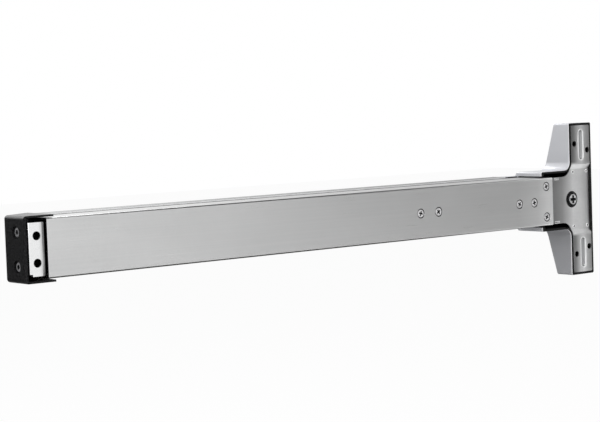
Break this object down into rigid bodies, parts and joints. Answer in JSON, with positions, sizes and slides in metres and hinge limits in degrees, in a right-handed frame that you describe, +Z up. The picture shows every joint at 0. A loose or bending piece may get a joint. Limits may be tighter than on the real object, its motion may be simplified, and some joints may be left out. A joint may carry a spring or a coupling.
{
  "type": "panic bar",
  "caption": "Rim-type panic bar for a door: a long touch pad on a channel, a T-shaped latch head with a sprung bolt, and a black end cap over the hinge-side bracket.",
  "frame": {"origin": "on the door plane, midway between the two mounting slots of the latch head", "axes": "+X along the bar from the latch head to the end cap, +Y towards the door, +Z up"},
  "size_m": [0.8318, 0.07, 0.188],
  "materials": {
    "channel_aluminium": "clear anodised, brushed lengthwise",
    "pad_aluminium": "clear anodised, brushed lengthwise",
    "cast_cover": "satin silver, finely speckled casting",
    "zinc_steel": "zinc plated sheet",
    "bare_steel": "machined",
    "bolt_steel": "ground and polished",
    "hub_metal": "machined, dull",
    "spring_steel": "drawn wire",
    "screw_steel": "bright zinc",
    "cap_screw_steel": "bright zinc",
    "end_bracket_steel": "bright zinc",
    "black_plastic": "fine grain",
    "pad_cap_plastic": "fine grain",
    "bearing_nylon": "smooth",
    "bumper_rubber": "matt"
  },
  "bodies": {
    "housing": {"housing_channel": "channel_aluminium", "channel_screws": "screw_steel", "head_cover": "cast_cover", "cover_screws": "screw_steel", "cover_posts": "zinc_steel", "base_plate": "zinc_steel", "latch_frame": "zinc_steel", "frame_rivets": "zinc_steel", "hub_bearing": "bearing_nylon", "latch_spring": "spring_steel", "mechanism_rail": "zinc_steel", "bracket_rivets": "bare_steel", "bumpers": "bumper_rubber", "end_bracket": "end_bracket_steel", "end_cap": "black_plastic", "end_cap_screws": "cap_screw_steel", "head_lever_bracket": "zinc_steel", "head_pivot_pin": "bare_steel", "head_pad_springs": "spring_steel", "hinge_lever_bracket": "zinc_steel", "hinge_pivot_pin": "bare_steel", "hinge_pad_springs": "spring_steel"},
    "push_pad": {"touch_pad": "pad_aluminium", "pad_head_cap": "pad_cap_plastic", "pad_hinge_cap": "pad_cap_plastic", "head_pad_lug": "zinc_steel", "head_link_pin": "bare_steel", "hinge_pad_lug": "zinc_steel", "hinge_link_pin": "bare_steel"},
    "head_lever": {"head_bell_crank": "bare_steel", "head_rod_pin": "bare_steel"},
    "hinge_lever": {"hinge_bell_crank": "bare_steel", "hinge_rod_pin": "bare_steel"},
    "pull_rod": {"connecting_rod": "bare_steel", "retractor_slide": "zinc_steel", "slide_rivets": "bare_steel"},
    "latch": {"latch_bolt": "bolt_steel"},
    "hub": {"trim_hub": "hub_metal", "hub_crank_pin": "bare_steel"}
  },
  "joints": [
    {"name": "pad_press", "type": "slide", "parent": "housing", "child": "push_pad", "axis": [0, 1, 0], "range_m": [0, 0.014], "stiffness_N_per_m": 1200, "springref_m": -0.02, "deforming": ["head_pad_springs", "hinge_pad_springs"]},
    {"name": "head_lever_turn", "type": "hinge", "parent": "housing", "child": "head_lever", "pos_m": [0.16, -0.033, 0], "axis": [0, 0, -1], "range_deg": [0, 52]},
    {"name": "hinge_lever_turn", "type": "hinge", "parent": "housing", "child": "hinge_lever", "pos_m": [0.64, -0.033, 0], "axis": [0, 0, -1], "range_deg": [0, 52]},
    {"name": "rod_pull", "type": "slide", "parent": "housing", "child": "pull_rod", "axis": [1, 0, 0], "range_m": [0, 0.017]},
    {"name": "latch_retract", "type": "slide", "parent": "housing", "child": "latch", "axis": [1, 0, 0], "range_m": [0, 0.017], "deforming": ["latch_spring"]},
    {"name": "hub_turn", "type": "hinge", "parent": "housing", "child": "hub", "pos_m": [0.0165, 0, 0], "axis": [0, 1, 0], "range_deg": [0, 75]}
  ],
  "couplings": [
    {"joint": "head_lever_turn", "follows": "pad_press", "rad_per_m": 64.82},
    {"joint": "hinge_lever_turn", "follows": "pad_press", "rad_per_m": 64.82},
    {"joint": "rod_pull", "follows": "pad_press", "ratio": 1.2142},
    {"joint": "latch_retract", "follows": "pad_press", "ratio": 1.2142},
    {"joint": "hub_turn", "follows": "pad_press", "rad_per_m": 93.49}
  ]
}
